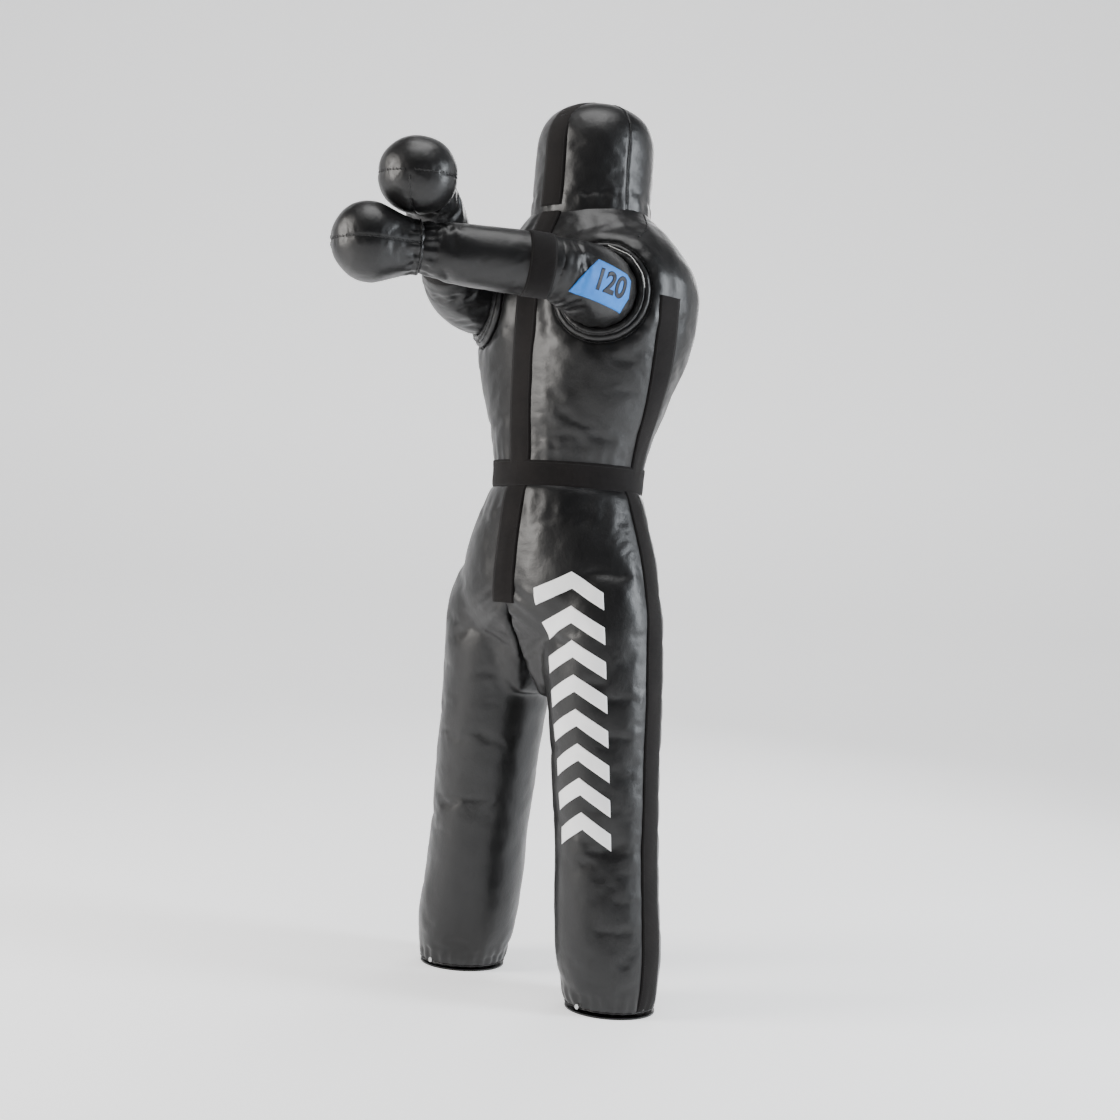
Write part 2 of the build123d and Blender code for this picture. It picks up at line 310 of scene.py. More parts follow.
def dent(obj, hills, ripples, seed, folds=None):
    """Soft hills, finer ripples and local folds of packed textile under a skin, in metres."""
    co = points_of(obj)
    normals = np.empty(len(co) * 3)
    obj.data.vertices.foreach_get("normal", normals)
    normals = normals.reshape(-1, 3)
    shift = Vector((seed * 3.1, seed * 1.7, seed * 0.9))
    for i, p in enumerate(co):
        v = Vector(p)
        depth = hills * noise.noise(v * HILL_SCALE + shift)
        depth += ripples * noise.noise(v * RIPPLE_SCALE + shift)
        if folds:
            depth += folds(v)
        co[i] += normals[i] * depth
    put_points(obj, co)


def tree_of(*objs):
    verts, faces = [], []
    for obj in objs:
        start = len(verts)
        verts += [v.co.copy() for v in obj.data.vertices]
        faces += [tuple(start + i for i in polygon.vertices) for polygon in obj.data.polygons]
    return BVHTree.FromPolygons(verts, faces)


RAY_START = 0.25             # how far outside a skin its ray casts begin, in metres


def onto(tree, point, inward, lift):
    """The place where a line from outside first meets a skin, and how the skin faces there."""
    inward = inward.normalized()
    hit, normal, _, _ = tree.ray_cast(point - inward * RAY_START, inward)
    if hit is None:
        hit, normal, _, _ = tree.find_nearest(point)
    if normal.dot(inward) > 0:
        normal = -normal
    return hit + normal * lift, normal


def bridge_hollow(row, normals, inward):
    """Stretches a row of webbing straight across a hollow between its two edges."""
    last = len(row) - 1
    for j in range(1, last):
        chord = row[0].lerp(row[last], j / last)
        below = (row[j] - chord).dot(inward)
        if below > 0:
            row[j] = row[j] - inward * below
            normals[j] = normals[0].lerp(normals[last], j / last).normalized()


WEB_HALF, WEB_THICK = 0.025, 0.0013
WEB_EDGE = 0.45              # part of the thickness left at the strip's two edges
WEB_TUCK = 0.004             # how deep those edges are tucked into the skin
WEB_RELAX = 3                # rounds of smoothing along the strip
WEB_RISE = 0.00006           # lift in each round, so that smoothing doesn't sink the strip


def web(name, tree, path, half=WEB_HALF, lift=0.0011, closed=False, across=9, bridge=False):
    """Webbing laid on a skin along (point, inward, sideways), with UVs in metres."""
    offsets = [(j / (across - 1) * 2 - 1) * half for j in range(across)]
    grid, normals = [], []
    for point, inward, side in path:
        row, row_normals = [], []
        for offset in offsets:
            spot, normal = onto(tree, point + side.normalized() * offset, inward, lift)
            row.append(spot)
            row_normals.append(normal)
        if bridge:
            bridge_hollow(row, row_normals, inward.normalized())
        grid.append(row)
        normals.append(row_normals)
    rows = len(grid)
    for _ in range(WEB_RELAX):
        old = [list(row) for row in grid]
        for i in range(rows):
            before, after = (i - 1) % rows, (i + 1) % rows
            if not closed and i in (0, rows - 1):
                continue
            for j in range(across):
                grid[i][j] = old[i][j] * 0.5 + (old[before][j] + old[after][j]) * 0.25
                grid[i][j] = grid[i][j] + normals[i][j] * WEB_RISE
    along = [0.0]
    for i in range(1, rows + 1):
        along.append(along[-1] + (grid[i % rows][across // 2] - grid[i - 1][across // 2]).length)
    count = across + 2
    full = [1 if 0 < j < across - 1 else WEB_EDGE for j in range(across)]
    verts, uv = [], []
    for i in range(rows):
        verts.append(grid[i][0] - normals[i][0] * WEB_TUCK)
        verts += [grid[i][j] + normals[i][j] * WEB_THICK * full[j] for j in range(across)]
        verts.append(grid[i][-1] - normals[i][-1] * WEB_TUCK)
        uv += [(offset, along[i]) for offset in (-half, *offsets, half)]
    faces, face_uv = [], []
    for i in range(rows if closed else rows - 1):
        k = (i + 1) % rows
        for j in range(count - 1):
            face = (i * count + j, k * count + j, k * count + j + 1, i * count + j + 1)
            faces.append(face)
            a, b, c, d = [uv[corner] for corner in face]
            if k == 0:
                b, c = (b[0], along[rows]), (c[0], along[rows])
            face_uv += [a, b, c, d]
    obj = add_mesh(name, verts, faces)
    layer = obj.data.uv_layers.new(name="metres")
    for loop, value in zip(layer.data, face_uv):
        loop.uv = value
    fix_normals(obj)
    obj.data.materials.append(WEBBING)
    return obj


def fix_normals(obj):
    bm = bmesh.new()
    bm.from_mesh(obj.data)
    bmesh.ops.recalc_face_normals(bm, faces=bm.faces)
    bm.to_mesh(obj.data)
    bm.free()


def spoke(side_way, other_way, turn):
    """A direction across an axis, turned from side_way towards other_way."""
    return side_way * cos(turn) + other_way * sin(turn)


def round_tube(points, radius, sides=8, closed=False):
    """Vertices and faces of a tube along points; radius is a number or a function of 0..1."""
    count = len(points)
    tangent = []
    for i in range(count):
        after = (i + 1) % count if closed else min(i + 1, count - 1)
        before = (i - 1) % count if closed else max(i - 1, 0)
        tangent.append((points[after] - points[before]).normalized())
    side = tangent[0].orthogonal().normalized()
    rings = []
    for i, point in enumerate(points):
        side = (side - tangent[i] * side.dot(tangent[i])).normalized()
        up = tangent[i].cross(side)
        size = radius(i / count) if callable(radius) else radius
        rings.append([point + spoke(side, up, turn) * size for turn in turns(sides)])
    verts, faces = skin_of(rings)
    if closed:
        faces = faces[:-2]
        last = (count - 1) * sides
        shift = min(range(sides), key=lambda s: (rings[-1][0] - rings[0][s]).length)
        for j in range(sides):
            k = (j + 1) % sides
            faces.append((last + j, last + k, (k + shift) % sides, (j + shift) % sides))
    return verts, faces


STITCH_EVERY, STITCH_HALF, STITCH_LEAN, STITCH_RADIUS = 0.006, 0.0021, 0.0012, 0.00045


def seam(name, tree, path, radius=0.0011, closed=False):
    """A thin sewn ridge on a skin, with small slanted stitches across it; path is (point, inward)."""
    line, normals = [], []
    for point, inward in path:
        spot, normal = onto(tree, point, inward, radius * 0.15)
        line.append(spot)
        normals.append(normal)
    parts = [round_tube(line, radius, 8, closed)]
    travelled, due = 0.0, 0.0
    for i in range(1, len(line)):
        step = line[i] - line[i - 1]
        travelled += step.length
        if travelled >= due and step.length > 0:
            across = step.normalized().cross(normals[i])
            lean = step.normalized() * STITCH_LEAN
            base = line[i] + normals[i] * radius * 0.75
            ends = [base - across * STITCH_HALF - lean - normals[i] * 0.0007, base + normals[i] * 0.0003,
                    base + across * STITCH_HALF + lean - normals[i] * 0.0007]
            parts.append(round_tube(ends, STITCH_RADIUS, 5))
            due = travelled + STITCH_EVERY
    obj = joined(name, parts)
    fix_normals(obj)
    obj.data.materials.append(VINYL_SEAM)
    return obj


# -------------------- materials
def new_material(name):
    material = bpy.data.materials.new(name)
    material.use_nodes = True
    nodes = material.node_tree.nodes
    return material, nodes, material.node_tree.links, nodes["Principled BSDF"]


def preset(node, values):
    for name, value in values.items():
        node.inputs[name].default_value = value


def ramp(nodes, links, source, *stops):
    """A colour ramp with two stops, driven by source."""
    node = nodes.new("ShaderNodeValToRGB")
    for element, (place, colour) in zip(node.color_ramp.elements, stops):
        element.position = place
        element.color = (*colour, 1)
    links.new(source, node.inputs["Fac"])
    return node.outputs["Color"]


def bump_node(nodes, links, height, strength, distance, under=None):
    node = nodes.new("ShaderNodeBump")
    preset(node, {"Strength": strength, "Distance": distance})
    links.new(height, node.inputs["Height"])
    if under is not None:
        links.new(under, node.inputs["Normal"])
    return node.outputs["Normal"]


def noise_node(nodes, links, source, scale, detail=3.0, rough=0.5):
    node = nodes.new("ShaderNodeTexNoise")
    preset(node, {"Scale": scale, "Detail": detail, "Roughness": rough})
    links.new(source, node.inputs["Vector"])
    return node.outputs["Fac"]


def make_vinyl(name, dark=1.0, grain=1.0):
    """Black artificial leather: fine pebble grain, soft creases, uneven gloss."""
    material, nodes, links, shader = new_material(name)
    place = nodes.new("ShaderNodeTexCoord").outputs["Object"]
    colour = ramp(nodes, links, noise_node(nodes, links, place, 7, 4),
                  (0.3, (0.0026 * dark, 0.0026 * dark, 0.0030 * dark)),
                  (0.7, (0.0052 * dark, 0.0050 * dark, 0.0052 * dark)))
    links.new(colour, shader.inputs["Base Color"])
    wear = noise_node(nodes, links, place, 22, 6, 0.6)
    gloss = ramp(nodes, links, wear, (0.25, (0.33, 0.33, 0.33)), (0.75, (0.44, 0.44, 0.44)))
    links.new(gloss, shader.inputs["Roughness"])
    pebble = nodes.new("ShaderNodeTexVoronoi")
    pebble.inputs["Scale"].default_value = 620
    links.new(place, pebble.inputs["Vector"])
    crease = noise_node(nodes, links, place, 38, 5, 0.55)
    fine = bump_node(nodes, links, pebble.outputs["Distance"], 0.22 * grain, 0.0005)
    links.new(bump_node(nodes, links, crease, 0.30, 0.004, fine), shader.inputs["Normal"])
    preset(shader, {"Specular IOR Level": 0.42, "Coat Weight": 0.12, "Coat Roughness": 0.3})
    return material


def math_node(nodes, links, kind, *values):
    node = nodes.new("ShaderNodeMath")
    node.operation = kind
    for socket, value in zip(node.inputs, values):
        if isinstance(value, (int, float)):
            socket.default_value = value
        else:
            links.new(value, socket)
    return node.outputs[0]


def make_webbing(name):
    """Matte black-brown nylon webbing: ribs across, fine warp along, a stitch row near each edge."""
    material, nodes, links, shader = new_material(name)
    uv = nodes.new("ShaderNodeUVMap")
    uv.uv_map = "metres"
    split = nodes.new("ShaderNodeSeparateXYZ")
    links.new(uv.outputs["UV"], split.inputs[0])
    across, along = split.outputs[0], split.outputs[1]

    def calc(kind, *values):
        return math_node(nodes, links, kind, *values)

    rib_pitch, warp_pitch = 0.0021, 0.0014
    row_from_centre, row_half = 0.0205, 0.0006
    stitch_pitch, stitch_gap = 0.0045, 0.28
    rib = calc("SINE", calc("MULTIPLY", along, 2 * pi / rib_pitch))
    warp = calc("SINE", calc("MULTIPLY", across, 2 * pi / warp_pitch))
    weave = calc("MULTIPLY_ADD", warp, 0.45, rib)
    near = calc("ABSOLUTE", calc("SUBTRACT", calc("ABSOLUTE", across), row_from_centre))
    row = calc("LESS_THAN", near, row_half)
    dash = calc("GREATER_THAN", calc("FRACT", calc("MULTIPLY", along, 1 / stitch_pitch)), stitch_gap)
    stitch = calc("MULTIPLY", row, dash)
    place = nodes.new("ShaderNodeTexCoord").outputs["Object"]
    base = ramp(nodes, links, noise_node(nodes, links, place, 16, 5, 0.6),
                (0.3, (0.0050, 0.0041, 0.0042)), (0.75, (0.0095, 0.0078, 0.0075)))
    thread = nodes.new("ShaderNodeMix")
    thread.data_type = "RGBA"
    links.new(stitch, thread.inputs["Factor"])
    links.new(base, thread.inputs["A"])
    thread.inputs["B"].default_value = (0.016, 0.0155, 0.0155, 1)
    links.new(thread.outputs["Result"], shader.inputs["Base Color"])
    height = calc("MULTIPLY_ADD", stitch, 2.5, weave)
    links.new(bump_node(nodes, links, height, 0.5, 0.0003), shader.inputs["Normal"])
    preset(shader, {"Roughness": 0.82, "Specular IOR Level": 0.16,
                    "Sheen Weight": 0.04, "Sheen Roughness": 0.5})
    return material


def make_simple(name, low, high, roughness, scale=120, bump_size=0.0003, metallic=0.0):
    """A two-tone material with fine noise in its colour and surface."""
    material, nodes, links, shader = new_material(name)
    place = nodes.new("ShaderNodeTexCoord").outputs["Object"]
    colour = ramp(nodes, links, noise_node(nodes, links, place, scale, 4), (0.3, low), (0.7, high))
    links.new(colour, shader.inputs["Base Color"])
    rough = noise_node(nodes, links, place, scale * 8, 2)
    links.new(bump_node(nodes, links, rough, 0.4, bump_size), shader.inputs["Normal"])
    preset(shader, {"Roughness": roughness, "Metallic": metallic})
    return material


VINYL = make_vinyl("vinyl_black")
VINYL_SEAM = make_vinyl("vinyl_seam", 0.8, 0.5)
WEBBING = make_webbing("webbing_black")
LABEL = make_simple("label_blue", (0.010, 0.16, 0.56), (0.018, 0.20, 0.64), 0.6, 60)
INK = make_simple("ink_navy", (0.002, 0.004, 0.012), (0.003, 0.006, 0.018), 0.55, 200)
PRINT = make_simple("print_white", (0.88, 0.88, 0.89), (0.95, 0.95, 0.95), 0.5, 25, 0.0002)
THREAD = make_simple("thread_white", (0.70, 0.69, 0.66), (0.85, 0.84, 0.81), 0.8, 400)
METAL = make_simple("tack_steel", (0.42, 0.42, 0.42), (0.7, 0.7, 0.7), 0.32, 300, 0.0001, 1.0)

make_camera()
make_studio()


# -------------------- loose thread at the left armhole
def armhole_axes(side):
    """Outwards, up, and out of the armhole."""
    outwards = Vector((side * cos(ARMHOLE_TURN), sin(ARMHOLE_TURN), 0))
    out = Vector((side * sin(ARMHOLE_TURN), -cos(ARMHOLE_TURN), 0))
    return outwards, Z.copy(), out


def armhole_point(side, turn, radius, lift):
    """A point round the armhole; turn is in radians from its top towards the outside."""
    outwards, up, out = armhole_axes(side)
    return ARMHOLE[side] + outwards * radius * sin(turn) + up * radius * cos(turn) + out * lift


def make_thread():
    """It winds a little from side to side as it lies over the top of the armhole."""
    radii, first_turn, turn_step, lift = (82, 78.5, 82, 79, 81.5, 79), 6, 15.5, 0.0036
    data = bpy.data.curves.new("thread_line", "CURVE")
    data.dimensions = "3D"
    data.bevel_depth = 0.0008
    data.bevel_resolution = 3
    line = data.splines.new("NURBS")
    line.points.add(len(radii) - 1)
    route = [armhole_point(1, radians(first_turn + turn_step * i), r / 1000, lift)
             for i, r in enumerate(radii)]
    for point, place in zip(line.points, route):
        point.co = (*place, 1)
    line.order_u = 3
    line.use_endpoint_u = True
    line.resolution_u = 12
    obj = add_object("thread_line", data)
    data.materials.append(THREAD)
    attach(obj, "torso")
    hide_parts("loose_thread")


make_thread()


def finish_skin(obj, nodes):
    obj.data.materials.clear()
    obj.data.materials.append(VINYL)
    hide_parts(*nodes)


# -------------------- torso
def trunk_ring(z, grow=1.0, count=120):
    a, b, cy = smooth_rows(TRUNK, z)
    power = 2.0 + 0.25 * min(max((z - 1000) / 200, 0), 1) * min(max((1420 - z) / 80, 0), 1)
    return ellipse_ring(at(0, cy, z), X, Y, a / 1000 * grow, b / 1000 * grow, power, count)


def trunk_point(z, degrees):
    """A point near the trunk's skin; degrees from the front towards +X."""
    a, b, cy = smooth_rows(TRUNK, z)
    turn = radians(degrees)
    inward = Vector((-sin(turn) / a * b, cos(turn), 0)).normalized()
    return at(a * sin(turn), cy - b * cos(turn), z), inward


def near_band(value, low, high, soft):
    """1 between low and high, fading to 0 outside over soft."""
    outside = max(low - value, value - high, 0)
    return max(0.0, 1 - outside / soft)


def flank_y(z):
    """The centre line of the flank straps slants back towards the armpit (all in mm)."""
    return 35 + (z - 985) / 300 * -49


ROLL_LIFT = 0.45             # how much of the chest's curve the armhole follows
GAP_STEP = 10                # degrees between the places where that curve is measured
WELL_R, WELL_FADE = 0.082, 0.048     # the sunken floor of an armhole, and the slope round it


def chest_gap(tree, side, turn, radius):
    """How far the chest lies in front of the armhole's plane there."""
    out = armhole_axes(side)[2]
    spot, _ = onto(tree, armhole_point(side, turn, radius, 0), -out, 0)
    return (spot - ARMHOLE[side]).dot(out)


def gap_at(gaps, turn):
    """The measured gaps, at any turn in radians."""
    turn = math.degrees(turn) % 360
    k = int(turn // GAP_STEP)
    part = turn / GAP_STEP - k
    return gaps[k] * (1 - part) + gaps[(k + 1) % len(gaps)] * part


def make_torso():
    # height and scale of each ring; the open ends are drawn in
    heights = [(884, 0.80), (892, 0.87), (902, 0.91), (914, 0.945), (925, 0.985)]
    heights += [(z, 1.0) for z in range(938, 1440, 12)] + [(1440, 1.0), (1449, 0.93), (1455, 0.80)]
    rings = []
    for z, grow in heights:
        rings.append(trunk_ring(max(z, 925), grow) if z < 925 else trunk_ring(z, grow))
        for p in rings[-1]:
            p.z = z / 1000
    plain = add_tube("torso_plain", rings)
    tree = tree_of(plain)
    gaps = {}
    for side in SIDES:
        gaps[side] = [chest_gap(tree, side, radians(d), WELL_R) for d in range(0, 360, GAP_STEP)]
    bpy.data.objects.remove(plain)
    skin = add_tube("torso_skin", rings)
    applied(skin, ("REMESH", {"mode": "VOXEL", "voxel_size": VOXEL}))
    co = points_of(skin)
    for i, raw in enumerate(co):
        p = Vector(raw)
        side = 1 if p.x > 0 else -1
        outwards, up, out = armhole_axes(side)
        local = p - ARMHOLE[side]
        u, v, s = local.dot(outwards), local.dot(up), local.dot(out)
        radius = hypot(u, v)
        if s < -0.075 or radius > WELL_R + WELL_FADE:
            continue
        ring_height = gap_at(gaps[side], atan2(u, v)) * ROLL_LIFT - 0.005
        if radius < WELL_R:
            target, weight = ring_height - 0.006, 1.0
        else:
            t = 1 - (radius - WELL_R) / WELL_FADE
            target, weight = ring_height, t * t * (3 - 2 * t)
        co[i] += np.array(out) * (target - s) * weight * (1 if target > s or radius < WELL_R else 0.6)
    put_points(skin, co)

    def held(p):
        """Held under the belt, at the neck, in the armholes and under the straps."""
        x, y, z = in_mm(p)
        side = 1 if x > 0 else -1
        local, out = p - ARMHOLE[side], armhole_axes(side)[2]
        weights = [near_band(z, 800, 972, 12), near_band(z, 1436, 1500, 10), near_band(abs(x), 0, 26, 10)]
        if local.dot(out) > -0.08:
            weights.append(near_band((local - out * local.dot(out)).length, 0, 0.086, 0.012))
        if z < 1290 and abs(x) > 100:
            weights.append(near_band(y, flank_y(z) - 26, flank_y(z) + 26, 10))
        return max(weights)

    def folds(p):
        """Pull wrinkles above the belt and round the armholes."""
        x, y, z = p.x, p.y - FEET_Y, p.z
        turn = atan2(x, -y)
        depth = 0.0005 * bell(z, 0.985, 0.03) * sin(turn * 34 + 2 * noise.noise(p * 8))
        side = 1 if x > 0 else -1
        local = p - ARMHOLE[side]
        outwards, up, out = armhole_axes(side)
        if local.dot(out) > -0.08:
            radius = hypot(local.dot(outwards), local.dot(up))
            around = atan2(local.dot(outwards), local.dot(up))
            depth += 0.0006 * bell(radius, 0.098, 0.014) * sin(around * 17 + 3 * noise.noise(p * 12))
            depth -= 0.003 * bell(radius, 0.0885, 0.003)
        return depth + 0.0006 * bell(z, 1.405, 0.02) * sin(turn * 21 + 3 * noise.noise(p * 9))

    stuff(skin, held, cap=0.007, soften=4)
    dent(skin, 0.0035, 0.0011, 1, folds)
    finish_skin(skin, ["torso"])
    return skin, gaps


torso, chest_gaps = make_torso()


def ring_gap(side, turn):
    """How far the sewn edge of the armhole lies in front of the armhole's plane."""
    return gap_at(chest_gaps[side], turn) * ROLL_LIFT


# -------------------- hips and legs
def leg_centre(z):
    return LEG_FOOT.lerp(LEG_TOP, z / LEG_TOP_Z)


def leg_ring(z):
    radius = smooth_rows(LEG, z)[0] / 1000
    return ellipse_ring(leg_centre(z), X, Y, radius, radius, 2.05)


HIP_ROWS = [(540, 185, 52, -12), (580, 196, 72, -13), (630, 212, 92, -13)] + TRUNK[:5]


def hip_ring(z, grow):
    """Half of the hips; above the crotch it passes the middle a little, so that the halves overlap."""
    a, b, cy = smooth_rows(HIP_ROWS, min(z, 945))
    ring = ellipse_ring(at(0, cy, z), X, Y, a / 1000 * grow, b / 1000 * grow)
    inner = -0.014 if z > 716 else 0.0008 + max(0, (640 - z) / 1000) * 0.18
    return [Vector((max(p.x, inner), p.y, p.z)) for p in ring]


def mirror_object(obj, name):
    co = points_of(obj)
    faces = [tuple(reversed(polygon.vertices)) for polygon in obj.data.polygons]
    co[:, 0] *= -1
    return add_mesh(name, co, faces)


def make_lower_body():
    legs = [leg_ring(z) for z in [3.4, 8, 14] + list(range(30, 771, 16))]
    hips = [(z, 1) for z in [540] + list(range(552, 904, 12)) + [916]]
    hips += [(924, 0.988), (931, 0.955), (936, 0.85)]
    skin = joined("left_lower_skin", [skin_of(legs), skin_of([hip_ring(z, grow) for z, grow in hips])])

    def held(p):
        """Held under the belt, at the sole, where the halves meet and under the side strap."""
        x, y, z = in_mm(p)
        weights = [near_band(z, 895, 1000, 12), near_band(z, 0, 12, 8)]
        if z > 720:
            weights.append(near_band(x, -20, 26, 10))
        elif x < 6:
            weights.append(1.0)
        centre = LEG_FOOT.lerp(LEG_TOP, p.z / (LEG_TOP_Z / 1000))
        if x > centre.x * 1000 + 60:
            weights.append(near_band(y - 8, -26, 26, 10))
        return max(weights)

    stuff(skin, held, cap=0.007, soften=10)
    other = mirror_object(skin, "right_lower_skin")

    def folds(p):
        """Pull wrinkles under the belt, in the groin and just above the soles."""
        turn = atan2(p.x, -(p.y - FEET_Y))
        depth = 0.0005 * bell(p.z, 0.885, 0.03) * sin(turn * 30 + 2 * noise.noise(p * 8))
        side = 1 if p.x > 0 else -1
        around = atan2(p.x - side * 0.192, -(p.y - FEET_Y))
        depth += 0.0012 * bell(p.z, 0.022, 0.016) * sin(around * 26 + 3 * noise.noise(p * 14))
        groin = bell(p.z, 0.70, 0.035) * bell(p.x, 0, 0.07)
        return depth + 0.002 * groin * sin((p.z + abs(p.x) * 0.6) * 190)

    for side, obj, nodes in ((1, skin, ["left_leg", "pelvis"]), (-1, other, ["right_leg"])):
        dent(obj, 0.0032, 0.0009, 3 + side, folds)
        finish_skin(obj, nodes)
    return {1: skin, -1: other}


lower = make_lower_body()


def make_waist_core():
    """A plug inside the waist, so that no gap opens when it bends."""
    rows = [(812, 0.7), (830, 0.86), (850, 0.91), (880, 0.93),
            (910, 0.955), (945, 0.965), (975, 0.90), (990, 0.7)]
    core = add_tube("waist_core", [trunk_ring(z, grow) for z, grow in rows])
    core.data.materials.append(VINYL)
    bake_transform(core)


make_waist_core()


# -------------------- head
def head_ring(z):
    if z <= HEAD_DOME_Z:
        radius = smooth_rows(HEAD, z)[0]
    else:
        part = (z - HEAD_DOME_Z) / (HEAD_TOP_Z - HEAD_DOME_Z)
        radius = HEAD_R * max(1 - part**HEAD_DOME_POWER, 0) ** (1 / HEAD_DOME_POWER)
    return ellipse_ring(at(0, HEAD_Y, z), X, Y, radius / 1000, radius / 1000, 2.05)


def make_head():
    heights = list(range(1405, 1600, 10))
    heights += [1605, 1612, 1619, 1626, 1632, 1637, 1641.5, 1645, 1647.5, 1649.3]
    skin = add_tube("head_skin", [head_ring(z) for z in heights])

    def held(p):
        """Held at the neck, under the middle strap and along the side seams."""
        x, y, z = in_mm(p)
        turn = abs(math.degrees(atan2(x, -(y - HEAD_Y))))
        by_seam = near_band(turn, SEAM_TURN - 1, SEAM_TURN + 1, 4) if z < 1620 else 0
        return max(near_band(z, 1300, 1446, 10), near_band(abs(x), 0, 26, 8), by_seam)

    def folds(p):
        """Pull wrinkles at the neck, and a groove along each side seam."""
        turn = atan2(p.x, -(p.y - FEET_Y) + 0.014)
        groove = bell(math.degrees(abs(turn)) - SEAM_TURN, 0, 1.6) * (1 if p.z < 1.6 else 0.5)
        return 0.0007 * bell(p.z, 1.452, 0.014) * sin(turn * 24 + 3 * noise.noise(p * 9)) - 0.0016 * groove

    stuff(skin, held, voxel=0.0055, cap=0.004, soften=3)
    dent(skin, 0.0024, 0.0008, 7, folds)
    finish_skin(skin, ["head"])
    return skin


head = make_head()


# -------------------- arms
ARM_VOXEL, ARM_GROWTH = 0.0045, 0.02
# node, radius, thickness and lift in metres, and where its uneven stuffing starts
ROLLS = {"armhole_roll": ("armhole_welt", 0.0815, 0.0068, -0.001, 0.0),
         "sleeve_roll": ("sleeve_collar", 0.0720, 0.0078, 0.0040, 1.3)}


def along_curve(points, radii, count=64, waves=None):
    """Rings round a smooth line; radii is a table of (part of the length, radius in mm)."""
    total = len(points) - 1
    side = None
    rings = []
    for i, point in enumerate(points):
        tangent = (points[min(i + 1, total)] - points[max(i - 1, 0)]).normalized()
        if side is None:
            side = (Z - tangent * Z.dot(tangent)).normalized()
        side = (side - tangent * side.dot(tangent)).normalized()
        other = tangent.cross(side)
        radius = smooth_rows(radii, i / total)[0] / 1000
        ring = []
        for turn in turns(count):
            size = radius + (waves(i / total, turn) if waves else 0)
            ring.append(point + spoke(side, other, turn) * size)
        rings.append(ring)
    return rings


def bezier(p0, p1, p2, p3, count):
    out = []
    for i in range(count + 1):
        t = i / count
        out.append(p0 * (1 - t) ** 3 + p1 * 3 * t * (1 - t) ** 2 + p2 * 3 * t * t * (1 - t) + p3 * t**3)
    return out


def arm_ways(side):
    """Along the upper arm, along the forearm, and halfway between the two."""
    shoulder, elbow, wrist, _ = ARMS[side]
    upper_way = (elbow - shoulder).normalized()
    fore_way = (wrist - elbow).normalized()
    return upper_way, fore_way, (upper_way + fore_way).normalized()


def hand_axes(side):
    """Along the hand, two directions across it, and its length as far as the knuckles."""
    _, _, wrist, knuckle = ARMS[side]
    hand_way = (knuckle - wrist).normalized()
    side_way = (Z - hand_way * Z.dot(hand_way)).normalized()
    return hand_way, side_way, hand_way.cross(side_way), (knuckle - wrist).length


def make_sleeve(side):
    """The upper arm, from inside the armhole to the elbow's fold."""
    elbow, root, out = ARMS[side][1], ARMHOLE[side], armhole_axes(side)[2]
    upper_way, fore_way, bend_way = arm_ways(side)
    line = bezier(root - out * 0.028, root + out * 0.045,
                  elbow - bend_way * 0.055, elbow + bend_way * 0.014, 36)

    def gathers(part, turn):
        return (0.0011 * bell(part, 0.22, 0.12) * sin(turn * 15 + 5 * part)
                + 0.0008 * bell(part, 0.82, 0.10) * sin(turn * 11 + 2))

    def held(p):
        return max(near_band((p - root).dot(out), -1, 0.008, 0.006),
                   near_band((p - elbow).dot(bend_way), -0.012, 1, 0.006))

    def folds(p):
        """Creases across the elbow, deepest on its inner side."""
        s = (p - elbow).dot(bend_way)
        inner = max(0, -(p - elbow).dot((upper_way - fore_way).normalized())) / 0.06
        return 0.0010 * bell(s, -0.022, 0.02) * sin(s * 420) * (0.35 + inner)

    radii = [(0, 64), (0.2, 67), (0.35, 67.5), (0.55, 65), (0.75, 60), (0.88, 56), (1, 52)]
    upper = add_tube(f"{SIDES[side]}_sleeve_skin", along_curve(line, radii, 72, gathers))
    stuff(upper, held, voxel=ARM_VOXEL, cap=0.004, soften=2, growth=ARM_GROWTH)
    dent(upper, 0.0022, 0.0010, 11 + side, folds)
    finish_skin(upper, [f"{SIDES[side]}_upper_arm"])
    return upper


def make_forearm(side):
    _, elbow, wrist, _ = ARMS[side]
    _, fore_way, bend_way = arm_ways(side)
    length = (wrist - elbow).length
    start = elbow - bend_way * 0.016
    line = bezier(start - bend_way * 0.004, elbow + bend_way * 0.018,
                  elbow + fore_way * 0.05, elbow + fore_way * 0.09, 18)
    rest = [elbow + fore_way * (0.09 + length * t) for t in np.linspace(0.03, 1, 30)]
    line += [p for p in rest if (p - elbow).dot(fore_way) < length + 0.004]

    def held(p):
        s = (p - elbow).dot(fore_way)
        return max(near_band(s, -1, 0.058, 0.006), near_band(s, length - 0.006, 1, 0.006))

    def folds(p):
        """Gathers at the wrist's seam."""
        local = p - wrist
        around = atan2(local.dot(Z), local.dot(fore_way.cross(Z)))
        return 0.0012 * bell((wrist - p).dot(fore_way), 0.015, 0.012) * sin(around * 15)

    radii = [(0, 51), (0.08, 53.2), (0.25, 54), (0.45, 53.4),
             (0.62, 52.4), (0.78, 50), (0.9, 45.5), (1, 40.5)]
    fore = add_tube(f"{SIDES[side]}_forearm_skin", along_curve(line, radii, 64))
    stuff(fore, held, voxel=ARM_VOXEL, cap=0.004, soften=2, growth=ARM_GROWTH)
    dent(fore, 0.0020, 0.0008, 17 + side, folds)
    finish_skin(fore, [f"{SIDES[side]}_forearm"])
    return fore


